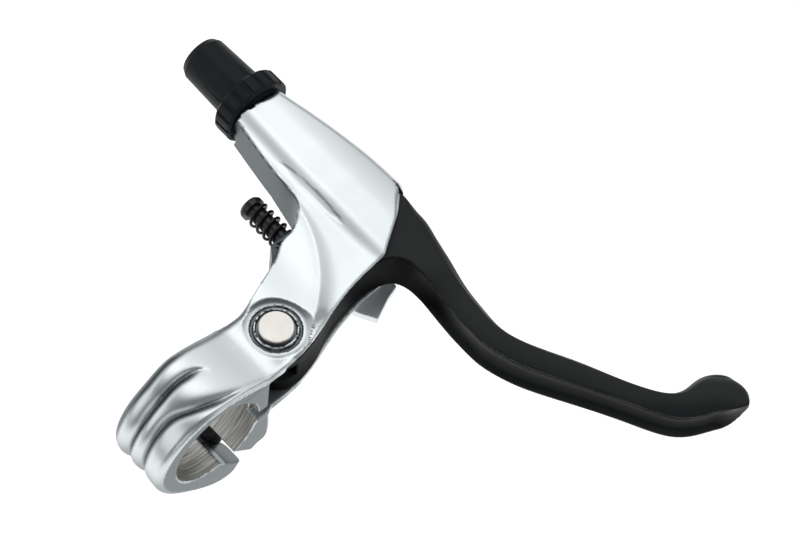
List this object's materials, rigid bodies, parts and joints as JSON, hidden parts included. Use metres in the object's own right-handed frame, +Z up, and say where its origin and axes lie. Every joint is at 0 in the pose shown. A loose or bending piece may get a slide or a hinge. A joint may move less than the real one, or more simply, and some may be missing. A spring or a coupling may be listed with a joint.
{
  "type": "bicycle brake lever",
  "caption": "Right-hand flat-bar brake lever with bar clamp, two-finger blade, barrel adjuster and sprung reach screw.",
  "frame": {"origin": "centre of the bar clamp's bore, halfway along the clamp", "axes": "+X along the handlebar towards the lever's tip, +Y forward away from the bar, +Z up along the lever's pivot axle"},
  "size_m": [0.1403, 0.1071, 0.038],
  "materials": {
    "satin_silver": "satin silver anodised forging",
    "black_anodised": "black anodised, matte above and glossy behind",
    "raw_steel": "turned bare steel",
    "spring_steel": "oiled spring steel",
    "bushing_polymer": "dark bearing polymer",
    "black_steel": "black oxide steel",
    "black_polymer": "black matte moulding",
    "cast_steel": "zinc plated"
  },
  "bodies": {
    "bracket": {"bracket": "satin_silver", "pivot_axle": "raw_steel", "axle_snap_ring": "spring_steel", "upper_thrust_washer": "raw_steel", "lower_thrust_washer": "raw_steel", "return_spring": "spring_steel", "clamp_washer": "black_steel", "reach_spring": "black_steel"},
    "lever": {"lever_blade": "black_anodised", "upper_bushing": "bushing_polymer", "lower_bushing": "bushing_polymer"},
    "hook": {"cable_hook": "cast_steel"},
    "barrel": {"adjuster_barrel": "black_polymer"},
    "ring": {"lock_ring": "black_polymer"},
    "reach": {"reach_screw": "black_steel"},
    "bolt": {"clamp_bolt": "black_steel"}
  },
  "joints": [
    {"name": "lever_pull", "type": "hinge", "parent": "bracket", "child": "lever", "pos_m": [0, 0.0228, 0.00325], "axis": [0, 0, -1], "range_deg": [0, 30], "stiffness_Nm_per_rad": 0.06, "springref_deg": -17.19, "deforming": ["return_spring"]},
    {"name": "hook_swivel", "type": "hinge", "parent": "lever", "child": "hook", "pos_m": [-0.0066, 0.0576, 0.00325], "axis": [0, 0, 1], "range_deg": [-5, 30]},
    {"name": "barrel_turn", "type": "hinge", "parent": "bracket", "child": "barrel", "pos_m": [-0.06, 0.0576, 0.005], "axis": [-1, 0, 0], "continuous": true},
    {"name": "ring_turn", "type": "hinge", "parent": "bracket", "child": "ring", "pos_m": [-0.05, 0.0576, 0.005], "axis": [-1, 0, 0], "continuous": true},
    {"name": "reach_turn", "type": "hinge", "parent": "bracket", "child": "reach", "pos_m": [-0.02, 0.0412, 0.0034], "axis": [1, 0, 0], "continuous": true},
    {"name": "bolt_turn", "type": "hinge", "parent": "bracket", "child": "bolt", "pos_m": [0, 0.00636, -0.01414], "axis": [0, 0.7071, 0.7071], "continuous": true}
  ]
}
